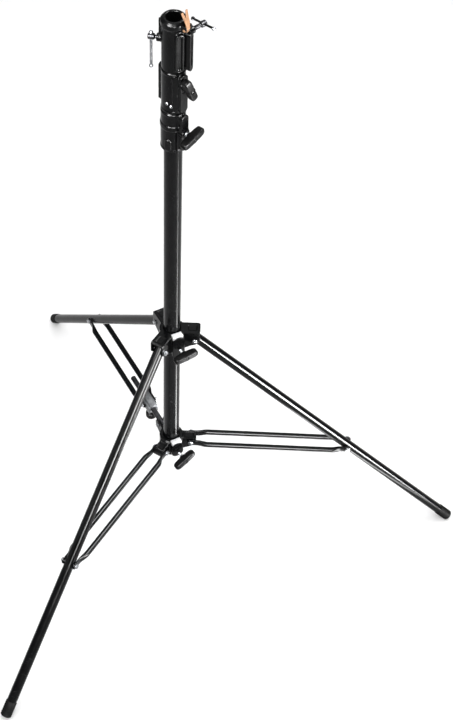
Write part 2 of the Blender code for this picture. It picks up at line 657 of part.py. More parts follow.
def make_leveling(hinge, outside):
    """The adjustable inner end of the leveling leg's braces: rod, clamp, clamp screw and grip."""
    ear = EAR_HALF_GAP + FIT
    place("rod_pin", bolt(-ear, ear, head_radius=0.005), steel, hinge)

    rod = along_x(turned([(0, -0.0065), (0.0045, -0.0065), (ROD_RADIUS, -0.0045),
                          (ROD_RADIUS, ROD_LENGTH - 0.001), (ROD_RADIUS - 0.001, ROD_LENGTH),
                          (0, ROD_LENGTH)], ROUND))
    rod = cut(rod, cross_hole(0, 0, 0.02))
    place("leveling_rod", turned_about(rod, "Y", -BRACE_TILT), steel, hinge)

    low = CLAMP_CENTRE - CLAMP_LENGTH / 2
    high = CLAMP_CENTRE + CLAMP_LENGTH / 2
    width = BRACE_FLAT_FACE - FIT
    clamp = box((low, -width, -CLAMP_HALF_HEIGHT), (high, width, CLAMP_HALF_HEIGHT))
    clamp = cut(clamp, moved(along_x(cylinder(ROD_RADIUS + FIT, -0.05, 0.05, ROUND)), x=CLAMP_CENTRE))
    shank = 0.0075
    for side in (1, -1):
        low_y, high_y = sorted((side * (shank - FIT), side * 0.02))
        hole = along_y(cylinder(BOLT_RADIUS + FIT, low_y, high_y, BORES))
        clamp = cut(clamp, moved(hole, x=CLAMP_CENTRE))
    screw_hole = cylinder(BOLT_RADIUS + FIT, -0.03, 0, BORES)
    clamp = cut(clamp, moved(screw_hole, x=GRIP_AT))
    place("leveling_clamp", turned_about(clamp, "Y", -BRACE_TILT), bright, hinge)

    for side, word in ((1, "left"), (-1, "right")):
        screw = bolt(shank, outside, both=False)
        if side < 0:
            screw = turned_about(screw, "Z", math.pi)
        screw = turned_about(moved(screw, x=CLAMP_CENTRE), "Y", -BRACE_TILT)
        place(f"clamp_bolt_{word}", screw, steel, hinge)

    axis = empty("leveling_knob_axis", (GRIP_AT, 0, 0), parent=hinge)
    axis.location = Matrix.Rotation(-BRACE_TILT, 3, "Y") @ axis.location
    axis.rotation_euler = (0, -BRACE_TILT, 0)
    grip = turned([(0, GRIP_LOW), (GRIP_RADIUS - 0.003, GRIP_LOW), (GRIP_RADIUS, GRIP_LOW + 0.003),
                   (GRIP_RADIUS, GRIP_HIGH - 0.008), (0.0085, GRIP_HIGH), (0, GRIP_HIGH)], ROUND)
    bore_end = GRIP_HIGH - KNOB_BORE_DEPTH
    grip = cut(grip, cylinder(BOLT_RADIUS + FIT, bore_end, GRIP_HIGH + 0.01, BORES))
    place("leveling_knob", grip, plastic, axis)
    stud = cylinder(BOLT_RADIUS, bore_end + FIT, -ROD_RADIUS - FIT, BORES)
    place("leveling_knob_stud", stud, steel, axis)


def clear_scene():
    for thing in list(bpy.data.objects):
        bpy.data.objects.remove(thing)


clear_scene()
black_paint = material("black_paint", (0.012, 0.013, 0.014), 0.28, 0.3)
plastic = material("black_plastic", (0.018, 0.018, 0.018), 0.45, 0.0)
rubber = material("black_rubber", (0.02, 0.02, 0.02), 0.8, 0.0)
steel = material("zinc_steel", (0.55, 0.55, 0.56), 0.3, 1.0)
bright = material("chrome", (0.8, 0.8, 0.82), 0.12, 1.0)
copper = material("copper_plate", (0.8, 0.48, 0.3), 0.3, 1.0)

# Each clamp knob: distance of its inner face from the column's axis, azimuth, height and roll
COLUMN_KNOB = (0.0370, math.radians(-40), 1.2030, math.radians(13))
RISER_KNOB = (0.0320, math.radians(-45), 1.3160, math.radians(-68))
UPPER_KNOB = (0.0440, KNOB_AZIMUTH, 0.6060, 0.0)
LOWER_KNOB = (0.0460, KNOB_AZIMUTH, 0.2480, math.radians(30))

stand = empty("stand", (COLUMN_X, 0, 0))
make_column(stand)
make_risers(stand)
make_head(stand)
make_upper_hub(stand)
make_lower_hub(stand)
for index, leg_azimuth in enumerate(LEG_AZIMUTHS):
    make_leg(index + 1, leg_azimuth, stand)
    make_braces(index + 1, leg_azimuth, stand)
for knob_name, (reach, azimuth, height, roll), tip in (
        ("column_knob", COLUMN_KNOB, COLUMN_RADIUS + FIT),
        ("riser_knob", RISER_KNOB, RISER_1_RADIUS + FIT),
        ("upper_hub_knob", UPPER_KNOB, COLUMN_RADIUS + FIT),
        ("lower_hub_knob", LOWER_KNOB, COLUMN_RADIUS + FIT)):
    wing_knob(knob_name, (reach, 0, height), azimuth, roll, tip, stand)
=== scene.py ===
"""Looks of the telescopic lighting stand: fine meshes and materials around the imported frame.

Metres, +Z up. Pieces are modelled about the column's axis or in a leg's own frame (x outward, y along
the hinge, z up), then placed. Heights and radii are read from the frame's nodes and joints.
"""

import json
import math

import bmesh
import bpy
from mathutils import Matrix, Vector


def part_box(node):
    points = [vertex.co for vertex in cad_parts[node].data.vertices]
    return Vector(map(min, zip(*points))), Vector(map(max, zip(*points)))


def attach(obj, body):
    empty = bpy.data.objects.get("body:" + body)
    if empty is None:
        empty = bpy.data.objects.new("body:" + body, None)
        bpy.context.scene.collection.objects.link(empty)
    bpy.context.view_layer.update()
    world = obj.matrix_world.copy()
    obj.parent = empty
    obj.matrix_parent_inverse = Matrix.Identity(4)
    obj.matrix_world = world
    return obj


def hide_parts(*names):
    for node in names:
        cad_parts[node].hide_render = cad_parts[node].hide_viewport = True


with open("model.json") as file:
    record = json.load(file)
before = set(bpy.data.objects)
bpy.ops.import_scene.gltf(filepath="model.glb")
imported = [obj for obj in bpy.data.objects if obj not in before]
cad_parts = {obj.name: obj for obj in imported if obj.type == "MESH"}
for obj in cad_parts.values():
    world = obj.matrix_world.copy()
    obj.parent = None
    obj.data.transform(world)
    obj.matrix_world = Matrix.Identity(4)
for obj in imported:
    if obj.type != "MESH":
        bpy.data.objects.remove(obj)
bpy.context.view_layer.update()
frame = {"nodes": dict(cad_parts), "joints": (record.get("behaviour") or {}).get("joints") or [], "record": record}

BODY_OF = {}
for body_name, members in frame["record"]["behaviour"]["bodies"].items():
    for member in members:
        BODY_OF[member] = body_name
JOINTS = {joint["name"]: joint for joint in frame["joints"]}

# Driving dimensions that the frame's boxes don't give
FIT = 0.0003
LEG_ANGLE = math.radians(44.69)   # from vertical
LEG_TOP = 0.012                   # tube beyond the pivot
LEG_END = 0.8625                  # from the pivot to the end of the foot cap
BRACE_JOINT = 0.4944              # along the leg, from its pivot
BRACE_RADIUS = 0.006
BRACE_OFFSET = 0.0175             # tube axis to the leg's middle plane
BRACE_FLAT_HEIGHT = 0.008
BRACE_FLAT_THICKNESS = 0.0045
BRACE_FLAT_LENGTH = 0.022
BRACE_TAPER = 0.024
FOOT_LENGTH = 0.036
FOOT_RADIUS = 0.0122
CLAMP_CENTRE = 0.068
CLAMP_LENGTH = 0.046
GRIP_AT = CLAMP_CENTRE - 0.012
ROD_LENGTH = 0.150
ROD_RADIUS = 0.006
SOCKET_RADIUS = 0.0143
SOCKET_FLOOR = 1.3915
SOCKET_WEB = 0.004
BOLT_RADIUS = 0.003
BOLT_HEAD_RADIUS = 0.0055
BOLT_HEAD = 0.0035
EAR_THICKNESS = 0.0035
HUB_RADIUS = 0.0265
HUB_RIB = (0.0338, 0.028)         # reach and width of the rib that holds the nut
NUT_TURN = math.radians(-7)       # from the clamp knob round to its nut
NUT_FACES = (0.0194, 0.0310)      # the nut's inner and outer faces, from the column's axis
NUT_HALF_WIDTH = 0.0110
NUT_DEPTH = 0.0190
NUT_STANDS_OUT = 0.0011
POCKET_FACES = (0.0191, 0.0314)
POCKET_HALF_WIDTH = 0.0114
POCKET_DEPTH = 0.020
WING_SIZE = (0.056, 0.016, 0.018)   # length, height and depth of a wing knob
STUD_IN_KNOB = 0.0097
COLUMN_WALL = 0.00125
RISER_WALL = 0.0015
RISER_COLLAR_RADIUS = 0.0226
COLLAR_LIP = 0.009
SCREW_RADIUS = 0.004
SCREW_HEAD_RADIUS = 0.0058
BAR_INSET = 0.0055
CATCH_PIN_HOLE = 0.0018
CHEEK_OFFSET = 0.0075
HEAD_RIBS = ((math.radians(-64), 0.0272, 0.016),      # azimuth, reach and width
             (math.radians(-27), 0.0358, 0.012))
HEAD_BOSS_REACH = 0.0440
SIDE_BOSS_REACH = 0.0300
BARS = {"head": (0.0327, 0.0021), "side": (0.0405, 0.0025)}   # half length and radius
BAR_BALL = 0.0038
BAR_NECK = 0.0053
VOXEL = 0.0008                    # grain of the cast pieces' remesh
SMOOTH = 96
FINE = 48

# Camera, fitted to the photo
CAMERA_PLACE = (0.0984, -2.2611, 3.2590)    # x is from the column's axis
CAMERA_TURN = (0.0082, 0.8758, 0.046)       # yaw, pitch and roll
LENS = 83.4
WORLD_STRENGTH = 0.40
FLOOR_DROP = 0.0006                         # keeps the floor just under the soles


def heights(node):
    low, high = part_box(node)
    return low.z, high.z


def radius_of(node):
    low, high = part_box(node)
    return (high.x - low.x) / 2


COLUMN_X = sum(corner.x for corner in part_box("column_tube")) / 2
COLUMN_RADIUS = radius_of("column_tube")
RISER_1_RADIUS = radius_of("riser_1_tube")
RISER_2_RADIUS = radius_of("riser_2_tube")
HEAD_LOW, HEAD_HIGH = heights("head_casting")
LEG_AZIMUTHS = [math.radians(-120), 0.0, math.radians(120)]
LEVELING_LEG = 3


def from_column(joint):
    """(reach, height) of a joint's point, measured from the column's axis."""
    x, y, z = JOINTS[joint]["pos_m"]
    return math.hypot(x - COLUMN_X, y), z


LEG_REACH, LEG_HEIGHT = from_column("leg_2_fold")
BRACE_REACH, BRACE_HEIGHT = from_column("brace_2_fold")
LEG_RADIUS = (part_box("leg_2")[1].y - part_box("leg_2")[0].y) / 2
EAR_HALF_GAP = LEG_RADIUS + FIT
LEG_DIRECTION = Vector((math.sin(LEG_ANGLE), 0, -math.cos(LEG_ANGLE)))
BRACE_SPAN = Vector((LEG_REACH - BRACE_REACH, 0, LEG_HEIGHT - BRACE_HEIGHT))
BRACE_SPAN = BRACE_SPAN + LEG_DIRECTION * BRACE_JOINT
BRACE_LENGTH = BRACE_SPAN.length
BRACE_TILT = math.atan2(BRACE_SPAN.z, BRACE_SPAN.x)
BRACE_FLAT_FACE = LEG_RADIUS + 0.0005
BRACE_OUTSIDE = BRACE_FLAT_FACE + BRACE_FLAT_THICKNESS + FIT


def about_column(azimuth=0.0, z=0.0):
    return Matrix.Translation((COLUMN_X, 0, z)) @ Matrix.Rotation(azimuth, 4, "Z")


def leg_frame(azimuth):
    return about_column(azimuth) @ Matrix.Translation((LEG_REACH, 0, LEG_HEIGHT))


def brace_frame(azimuth):
    """x runs along the brace, from its inner pivot."""
    start = about_column(azimuth) @ Matrix.Translation((BRACE_REACH, 0, BRACE_HEIGHT))
    return start @ Matrix.Rotation(-BRACE_TILT, 4, "Y")


# Camera, lights and floor


def camera_axes(yaw, pitch, roll):
    """Right, up and forward of a camera that looks along +Y, then turns, pitches down and rolls."""
    forward = Vector((math.sin(yaw) * math.cos(pitch), math.cos(yaw) * math.cos(pitch),
                      -math.sin(pitch)))
    level = Vector((math.cos(yaw), -math.sin(yaw), 0))
    above = level.cross(forward)
    right = level * math.cos(roll) + above * math.sin(roll)
    up = above * math.cos(roll) - level * math.sin(roll)
    return right, up, forward


def make_camera():
    data = bpy.data.cameras.new("camera")
    data.lens = LENS
    data.sensor_fit = "VERTICAL"
    data.sensor_height = 36
    right, up, forward = camera_axes(*CAMERA_TURN)
    turn = Matrix((right, up, -forward)).transposed().to_4x4()
    camera = bpy.data.objects.new("camera", data)
    camera.matrix_world = Matrix.Translation(Vector((COLUMN_X, 0, 0)) + Vector(CAMERA_PLACE)) @ turn
    bpy.context.scene.collection.objects.link(camera)
    bpy.context.scene.camera = camera


def area_light(name, place, aim, size, power, glossy_only=False, azimuth=0.0):
    """A rectangular light. A glossy_only one shows in reflections and lights nothing else."""
    data = bpy.data.lights.new(name, "AREA")
    data.shape = "RECTANGLE"
    data.size, data.size_y = size
    data.energy = power
    light = bpy.data.objects.new(name, data)
    light.location = place
    facing = (Vector(aim) - Vector(place)).to_track_quat("-Z", "Y").to_matrix()
    light.rotation_euler = (Matrix.Rotation(azimuth, 3, "Z") @ facing).to_euler()
    light.visible_camera = False
    if glossy_only:
        light.visible_diffuse = False
    bpy.context.scene.collection.objects.link(light)


def make_studio():
    area_light("softbox_top", (0.3, 0.2, 4.2), (0, 0, 0), (4.5, 4.5), 150)
    area_light("softbox_right", (3.0, -2.0, 1.6), (0, 0, 0.6), (0.8, 1.6), 35)
    area_light("softbox_left", (-3.0, -0.6, 1.8), (0, 0, 0.8), (0.5, 2.0), 20)
    area_light("strip_leg_2", (2.15, -1.35, 0.44), (-0.03, 0, 0.5), (1.1, 0.8), 900, True)
    area_light("strip_leg_1", (0.10, -2.45, 1.50), (-0.30, -0.25, 0.4), (0.7, 0.8), 340, True)
    area_light("strip_camera", (0.0, -2.7, 3.4), (-0.16, 0, 0.8), (1.2, 0.5), 170, True)
    area_light("strip_front_left", (-1.7, -2.3, 3.3), (-0.16, 0, 1.3), (1.3, 0.8), 1100, True)
    area_light("strip_overhead", (1.9, 0.8, 4.0), (-0.3, -0.2, 0.3), (1.2, 1.2), 560, True)
    area_light("strip_floor", (0.52, -0.215, 0.012), (0.52, -0.215, 2.0), (1.0, 0.08), 9, True,
               math.radians(-17.5))
    area_light("softbox_back", (-0.27, 3.0, 4.1), (-0.16, 0, 0.6), (1.5, 1.5), 11, True)
    world = bpy.data.worlds.new("studio")
    world.use_nodes = True
    background = world.node_tree.nodes["Background"]
    background.inputs["Color"].default_value = (1, 1, 1, 1)
    background.inputs["Strength"].default_value = WORLD_STRENGTH
    bpy.context.scene.world = world
    bpy.context.scene.view_settings.view_transform = "Standard"

    bm = bmesh.new()
    bmesh.ops.create_grid(bm, x_segments=8, y_segments=8, size=6)
    mesh = bpy.data.meshes.new("floor")
    bm.to_mesh(mesh)
    bm.free()
    mesh.transform(Matrix.Translation((0, 0, -FLOOR_DROP)))
    mesh.materials.append(paper())
    floor = bpy.data.objects.new("floor", mesh)
    bpy.context.scene.collection.objects.link(floor)


# Materials


class Nodes:
    """Short ways to add shader nodes to one material."""

    def __init__(self, name):
        self.material = bpy.data.materials.new(name)
        self.material.use_nodes = True
        self.tree = self.material.node_tree
        self.shader = self.tree.nodes["Principled BSDF"]
        self.place = self.add("ShaderNodeTexCoord").outputs["Object"]

    def add(self, kind, **settings):
        node = self.tree.nodes.new(kind)
        for key, value in settings.items():
            setattr(node, key, value)
        return node

    def link(self, source, target):
        self.tree.links.new(source, target)

    def noise(self, scale, detail=4.0, stretch=(1, 1, 1), turn=(0, 0, 0)):
        """A noise texture's value, with its pattern stretched along each axis."""
        mapping = self.add("ShaderNodeMapping")
        mapping.inputs["Scale"].default_value = [1 / part for part in stretch]
        mapping.inputs["Rotation"].default_value = turn
        self.link(self.place, mapping.inputs["Vector"])
        texture = self.add("ShaderNodeTexNoise")
        texture.inputs["Scale"].default_value = scale
        texture.inputs["Detail"].default_value = detail
        self.link(mapping.outputs["Vector"], texture.inputs["Vector"])
        return texture.outputs["Fac"]

    def cells(self, scale):
        texture = self.add("ShaderNodeTexVoronoi")
        texture.inputs["Scale"].default_value = scale
        self.link(self.place, texture.inputs["Vector"])
        return texture.outputs["Distance"]

    def ranged(self, value, low, high, start=0.3, end=0.7):
        """value from start..end turned into low..high, and held there."""
        node = self.add("ShaderNodeMapRange")
        for socket, number in (("From Min", start), ("From Max", end), ("To Min", low),
                               ("To Max", high)):
            node.inputs[socket].default_value = number
        self.link(value, node.inputs["Value"])
        return node.outputs["Result"]

    def maths(self, operation, first, second):
        node = self.add("ShaderNodeMath", operation=operation, use_clamp=True)
        for socket, value in zip(node.inputs, (first, second)):
            if isinstance(value, (int, float)):
                socket.default_value = value
            else:
                self.link(value, socket)
        return node.outputs["Value"]

    def mixed(self, factor, first, second):
        """Two colours, or a colour and another mix, blended by factor."""
        node = self.add("ShaderNodeMix", data_type="RGBA")
        self.link(factor, node.inputs["Factor"])
        for socket, colour in (("A", first), ("B", second)):
            target = [s for s in node.inputs if s.name == socket and s.type == "RGBA"][0]
            if isinstance(colour, tuple):
                target.default_value = (*colour, 1)
            else:
                self.link(colour, target)
        return [s for s in node.outputs if s.type == "RGBA"][0]

    def edges(self, start, end):
        """1 on convex edges, 0 on flat ground, broken up by noise."""
        sharp = self.ranged(self.add("ShaderNodeNewGeometry").outputs["Pointiness"], 0, 1, start, end)
        return self.maths("MULTIPLY", sharp, self.ranged(self.noise(140), 0, 1, 0.42, 0.62))

    def bump(self, *layers):
        """Stacks (height, distance in metres) layers into the shader's normal."""
        normal = None
        for height, distance in layers:
            node = self.add("ShaderNodeBump")
            node.inputs["Strength"].default_value = 1
            node.inputs["Distance"].default_value = distance
            self.link(height, node.inputs["Height"])
            if normal:
                self.link(normal, node.inputs["Normal"])
            normal = node.outputs["Normal"]
        self.link(normal, self.shader.inputs["Normal"])

    def finish(self, colour=None, roughness=None, metallic=None, **constants):
        for socket, value in (("Base Color", colour), ("Roughness", roughness), ("Metallic", metallic)):
            if value is not None:
                self.link(value, self.shader.inputs[socket])
        for name, value in constants.items():
            self.shader.inputs[name.replace("_", " ")].default_value = value
        return self.material


def paper():
    n = Nodes("floor_paper")
    colour = n.mixed(n.ranged(n.noise(1.3), 0, 1), (0.93, 0.93, 0.93), (0.96, 0.96, 0.96))
    n.bump((n.noise(900), 0.00004))
    return n.finish(colour, n.ranged(n.noise(30), 0.75, 0.9))


def enamel(name, peel, depth, gloss, specular=0.065):
    """Black stove enamel over steel: orange peel, rubbed patches, hairline scratches, worn edges."""
    n = Nodes(name)
    wear = n.edges(0.57, 0.68)
    scratch = n.maths("MULTIPLY", n.ranged(n.noise(900, 2, (12, 1, 12)), 0, 1, 0.66, 0.70),
                      n.ranged(n.noise(9), 0, 1, 0.52, 0.62))
    ground = n.mixed(n.ranged(n.noise(24), 0, 1), (0.0022, 0.0024, 0.0027), (0.0050, 0.0053, 0.0057))
    ground = n.mixed(scratch, ground, (0.024, 0.024, 0.025))
    colour = n.mixed(wear, ground, (0.075, 0.075, 0.078))
    rough = n.maths("ADD", n.ranged(n.noise(38, 6), *gloss), n.maths("MULTIPLY", scratch, 0.15))
    n.bump((n.noise(peel, 3), depth), (scratch, 0.00001))
    return n.finish(colour, rough, n.maths("MULTIPLY", wear, 0.4), Specular_IOR_Level=specular)


def moulded(name, base, lighter, rough, specular):
    """Moulded plastic or rubber: a fine leather grain, with rubbed, slightly paler edges and dust."""
    n = Nodes(name)
    dust = n.ranged(n.noise(55, 6), 0, 1, 0.50, 0.72)
    wear = n.maths("MAXIMUM", n.edges(0.53, 0.64), n.maths("MULTIPLY", dust, 0.25))
    colour = n.mixed(wear, n.mixed(n.ranged(n.noise(90), 0, 1), base, lighter), (0.020, 0.020, 0.019))
    n.bump((n.cells(1500), 0.00003), (n.noise(260), 0.00004))
    return n.finish(colour, n.ranged(n.noise(70, 5), *rough), Specular_IOR_Level=specular)


def plated(name, base, tint, rough, grain=0.00002, metallic=1.0, specular=0.5):
    """Plated steel: cloudy plating, faint turning marks, and dull spots."""
    n = Nodes(name)
    spots = n.ranged(n.noise(420, 5), 0, 1, 0.60, 0.72)
    colour = n.mixed(n.ranged(n.noise(120, 5), 0, 1, 0.35, 0.65), base, tint)
    colour = n.mixed(n.maths("MULTIPLY", spots, 0.5), colour, tuple(0.35 * part for part in base))
    marks = n.noise(2600, 2, (1, 1, 14))
    rough_value = n.maths("ADD", n.ranged(n.noise(160, 4), *rough), n.maths("MULTIPLY", spots, 0.25))
    n.bump((marks, grain), (n.noise(500), 1.5 * grain))
    return n.finish(colour, rough_value, Metallic=metallic, Specular_IOR_Level=specular)


# Shapes


def mesh_of(bm):
    bmesh.ops.recalc_face_normals(bm, faces=bm.faces)
    mesh = bpy.data.meshes.new("shape")
    bm.to_mesh(mesh)
    bm.free()
    return mesh


def turned(profile, segments=SMOOTH):
    """A mesh turned about Z from (radius, height) points: a solid if it starts on the axis, else a ring."""
    points = list(profile)
    solid = points[0][0] == 0
    if solid and points[0][1] == points[1][1]:
        points.pop(0)
    if solid and points[-1][1] == points[-2][1]:
        points.pop()
    bm = bmesh.new()
    rings = []
    for radius, height in points:
        ring = []
        for step in range(segments if radius > 0 else 1):
            turn = math.tau * step / segments
            ring.append(bm.verts.new((radius * math.cos(turn), radius * math.sin(turn), height)))
        rings.append(ring)
    pairs = list(zip(rings, rings[1:]))
    if not solid:
        pairs.append((rings[-1], rings[0]))
    for low, high in pairs:
        for step in range(segments):
            following = (step + 1) % segments
            if len(low) == 1:
                corners = (low[0], high[step], high[following])
            elif len(high) == 1:
                corners = (low[step], high[0], low[following])
            else:
                corners = (low[step], high[step], high[following], low[following])
            bm.faces.new(corners)
    for end in (rings[0], rings[-1]):
        if solid and len(end) > 1:
            bm.faces.new(end)
    return mesh_of(bm)


def rod(radius, low, high, ease=0.0004, segments=FINE):
    """A solid cylinder with eased ends."""
    return turned([(0, low), (radius - ease, low), (radius, low + ease), (radius, high - ease),
                   (radius - ease, high), (0, high)], segments)


def pipe(radius, bore, low, high, ease=0.0004, segments=SMOOTH):
    return turned([(radius, low + ease), (radius, high - ease), (radius - ease, high),
                   (bore + ease, high), (bore, high - ease), (bore, low + ease),
                   (bore + ease, low), (radius - ease, low)], segments)


def lofted(rings):
    bm = bmesh.new()
    loops = [[bm.verts.new(point) for point in ring] for ring in rings]
    count = len(loops[0])
    for near, far in zip(loops, loops[1:]):
        for step in range(count):
            following = (step + 1) % count
            bm.faces.new((near[step], near[following], far[following], far[step]))
    bm.faces.new(loops[0])
    bm.faces.new(loops[-1])
    return mesh_of(bm)


def prism(outline, low, high):
    return lofted([[(x, y, z) for x, y in outline] for z in (low, high)])


def box(low, high):
    outline = [(low[0], low[1]), (high[0], low[1]), (high[0], high[1]), (low[0], high[1])]
    return prism(outline, low[2], high[2])


def stadium(half_length, half_width, steps=14):
    centre = half_length - half_width
    points = []
    for side, start in ((centre, -math.pi / 2), (-centre, math.pi / 2)):
        for step in range(steps + 1):
            turn = start + math.pi * step / steps
            points.append((side + half_width * math.cos(turn), half_width * math.sin(turn)))
    return points


def moved(mesh, x=0, y=0, z=0):
    mesh.transform(Matrix.Translation((x, y, z)))
    return mesh


def turned_about(mesh, axis, angle):
    mesh.transform(Matrix.Rotation(angle, 4, axis))
    return mesh


def along_x(mesh):
    return turned_about(mesh, "Y", math.pi / 2)


def along_y(mesh):
    return turned_about(mesh, "X", -math.pi / 2)


def along_leg(mesh):
    return turned_about(mesh, "Y", math.pi - LEG_ANGLE)


def evaluated(holder):
    graph = bpy.context.evaluated_depsgraph_get()
    return bpy.data.meshes.new_from_object(holder.evaluated_get(graph))


def held(mesh):
    holder = bpy.data.objects.new("holder", mesh)
    bpy.context.scene.collection.objects.link(holder)
    return holder


def combined(base, tool, operation):
    holders = [held(base), held(tool)]
    step = holders[0].modifiers.new("step", "BOOLEAN")
    step.operation = operation
    step.solver = "EXACT"
    step.object = holders[1]
    result = evaluated(holders[0])
    for holder in holders:
        bpy.data.objects.remove(holder)
    return result


def joined(base, *tools):
    for tool in tools:
        base = combined(base, tool, "UNION")
    return base


def cut(base, *tools):
    for tool in tools:
        base = combined(base, tool, "DIFFERENCE")
    return base


def cast(mesh, voxel=VOXEL, rounds=5):
    """Turns a sharp solid into a casting: an even mesh whose edges are softened all round."""
    holder = held(mesh)
    remesh = holder.modifiers.new("remesh", "REMESH")
    remesh.mode = "VOXEL"
    remesh.voxel_size = voxel
    soften = holder.modifiers.new("soften", "SMOOTH")
    soften.factor = 0.5
    soften.iterations = rounds
    result = evaluated(holder)
    bpy.data.objects.remove(holder)
    return result


def eased(mesh, width, segments=3):
    """Bevels a machined or pressed piece's sharp edges."""
    holder = held(mesh)
    bevel = holder.modifiers.new("ease", "BEVEL")
    bevel.width = width
    bevel.segments = segments
    bevel.limit_method = "ANGLE"
    bevel.angle_limit = math.radians(32)
    bevel.use_clamp_overlap = True
    result = evaluated(holder)
    bpy.data.objects.remove(holder)
    return result


def piece(name, mesh, where, finish, rides_with, stands_for=(), soft_angle=35):
    """Puts a mesh in the scene as one piece that rides with a CAD node and may stand for some."""
    mesh.transform(where)
    mesh.name = name
    mesh.materials.clear()
    mesh.materials.append(finish)
    for face in mesh.polygons:
        face.material_index = 0
    mesh.shade_smooth()
    mesh.set_sharp_from_angle(angle=math.radians(soft_angle))
    made = bpy.data.objects.new(name, mesh)
    bpy.context.scene.collection.objects.link(made)
    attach(made, BODY_OF[rides_with])
    if stands_for:
        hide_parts(*stands_for)
    return made


# Shared pieces


def hexagon_outline(radius):
    return [(radius * math.cos(math.tau * k / 6), radius * math.sin(math.tau * k / 6)) for k in range(6)]


def hexagon(radius, low, high):
    """A hexagonal head along Z with chamfered corners."""
    flats = prism(hexagon_outline(radius), low, high)
    cone = turned([(0, low), (radius * 0.90, low), (radius * 1.01, low + 0.0007),
                   (radius * 1.01, high - 0.0007), (radius * 0.90, high), (0, high)], FINE)
    return combined(flats, cone, "INTERSECT")


def hex_bolt(low, high, nut=True, head_radius=BOLT_HEAD_RADIUS):
    """A bolt along Y with a hexagonal head on a washer past high, and a lock nut past low."""
    washer = 0.0007
    parts = [rod(BOLT_RADIUS, low - (BOLT_HEAD if nut else 0), high + 0.001),
             rod(head_radius, high, high + washer, 0.0002),
             hexagon(head_radius * 0.93, high + washer * 0.8, high + BOLT_HEAD)]
    if nut:
        parts += [rod(head_radius, low - washer, low, 0.0002),
                  hexagon(head_radius * 0.93, low - BOLT_HEAD * 0.82, low - washer * 0.8)]
    return along_y(joined(*parts))


def wing(length, height, depth):
    """A wing knob in its own frame: x outward from its inner face, y along the wings."""
    count = 32
    rings = []
    for step in range(count + 1):
        share = -0.995 + 1.99 * step / count
        taper = math.sqrt(1 - abs(share) ** 8)
        outer = depth * (1 - 0.05 * share * share)
        inner = depth * (0.05 + 0.10 * share * share)
        deep = (outer - inner) / 2 * (0.5 + 0.5 * taper)
        half = height / 2 * (0.96 + 0.04 * share * share) * taper
        ring = []
        for turn_step in range(count):
            turn = math.tau * turn_step / count
            across = math.copysign(abs(math.cos(turn)) ** 0.38, math.cos(turn))
            upward = math.copysign(abs(math.sin(turn)) ** 0.38, math.sin(turn))
            ring.append(((outer + inner) / 2 + deep * across, share * length / 2, half * upward))
        rings.append(ring)
    hub = along_x(rod(height / 2 * 0.98, 0, depth * 0.99, 0.0012))
    body = cast(joined(lofted(rings), hub), 0.0006, 4)
    dimple = moved(along_x(rod(height * 0.27, 0, 0.01, 0.0002)), x=depth * 0.92)
    return cut(body, dimple)


def knob(name, joint, roll, finish, stud_finish):
    """A wing knob on its stud. Its place and axis are its joint's."""
    x, y, z = JOINTS[joint]["pos_m"]
    azimuth = math.atan2(JOINTS[joint]["axis"][1], JOINTS[joint]["axis"][0])
    where = Matrix.Translation((x, y, z)) @ Matrix.Rotation(azimuth, 4, "Z")
    turn = Matrix.Rotation(roll, 4, "X")
    piece(name + "_fine", wing(*WING_SIZE), where @ turn, finish, name, [name], 50)
    reach = math.hypot(x - COLUMN_X, y)
    tip = math.dist((COLUMN_X, 0), [(a + b) / 2 for a, b in zip(*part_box(name + "_stud"))][:2])
    length = 2 * (reach + STUD_IN_KNOB - tip)
    threads = threaded(BOLT_RADIUS, STUD_IN_KNOB - length, STUD_IN_KNOB, 0.0010)
    piece(name + "_stud_fine", along_x(threads), where, stud_finish, name + "_stud",
          [name + "_stud"], 60)
    washer = along_x(pipe(0.0062, BOLT_RADIUS + 0.0002, -0.0014, -0.0002, 0.0002, FINE))
    piece(name + "_washer", washer, where, stud_finish, name)


def threaded(radius, low, high, pitch, segments=FINE):
    """A rod along Z with thread ridges."""
    depth = pitch * 0.32
    count = max(int((high - low - 0.001) / pitch), 1)
    start = low + 0.0005
    profile = [(0, low), (radius - depth, low)]
    for step in range(count):
        profile += [(radius - depth, start + step * pitch), (radius, start + (step + 0.5) * pitch)]
    profile += [(radius - depth, start + count * pitch), (radius - depth, high), (0, high)]
    return turned(profile, segments)


def rib(azimuth, reach, width, low, high, start=0.0):
    """A round-ended rib that stands out from the column's axis at an azimuth."""
    outline = stadium((high - low) / 2, width / 2)
    body = along_x(prism(outline, start, reach))
    return turned_about(moved(body, z=(low + high) / 2), "Z", azimuth)


def radial(mesh, azimuth, z):
    """Lays a mesh made along Z on the radius at an azimuth and a height."""
    return turned_about(moved(along_x(mesh), z=z), "Z", azimuth)


def socket_screw(name, azimuth, z, reach, rides_with, finish):
    """A small cap screw with a hexagonal recess, seated in a casting."""
    head = rod(0.0030, reach - 0.002, reach + 0.0016, 0.0004)
    recess = prism(hexagon_outline(0.0016), reach, reach + 0.003)
    piece(name, radial(cut(head, recess), azimuth, z), about_column(), finish, rides_with)


# Column and risers


